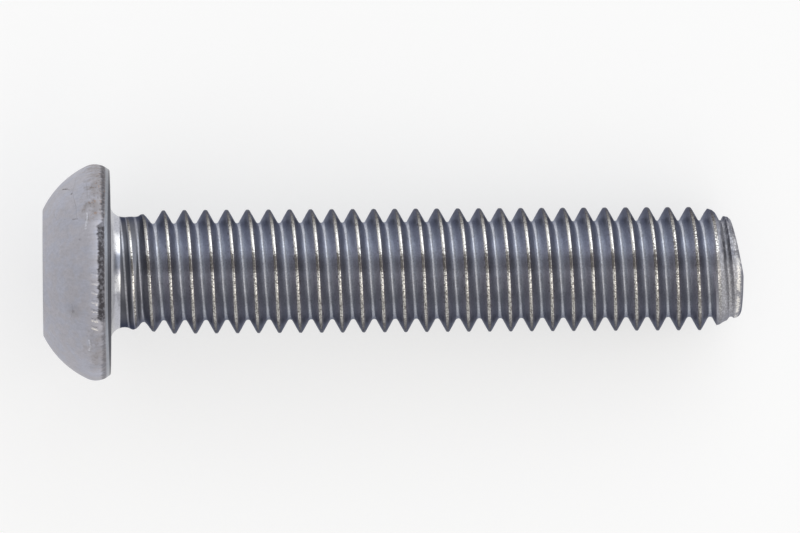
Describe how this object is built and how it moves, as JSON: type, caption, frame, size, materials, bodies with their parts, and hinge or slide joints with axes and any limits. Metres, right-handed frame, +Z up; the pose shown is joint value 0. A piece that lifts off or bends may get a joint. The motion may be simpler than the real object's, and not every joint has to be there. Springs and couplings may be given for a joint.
{
  "type": "button head socket screw",
  "caption": "Button head screw with a hexagon socket, a short plain neck and a machine thread to its tip, lying on its side.",
  "frame": {"origin": "on the table, under the centre of the lying screw's box", "axes": "+Z up; +X along the screw from its head to its tip, which dips by 4.39 degrees as it rests on the head's rim and the thread's far end; +Y to the side on which the end is slanted"},
  "size_m": [0.0334, 0.0102, 0.0103],
  "materials": {
    "steel": "satin grey steel, as forged and rolled"
  },
  "bodies": {
    "root": {"screw": "steel"}
  },
  "joints": []
}
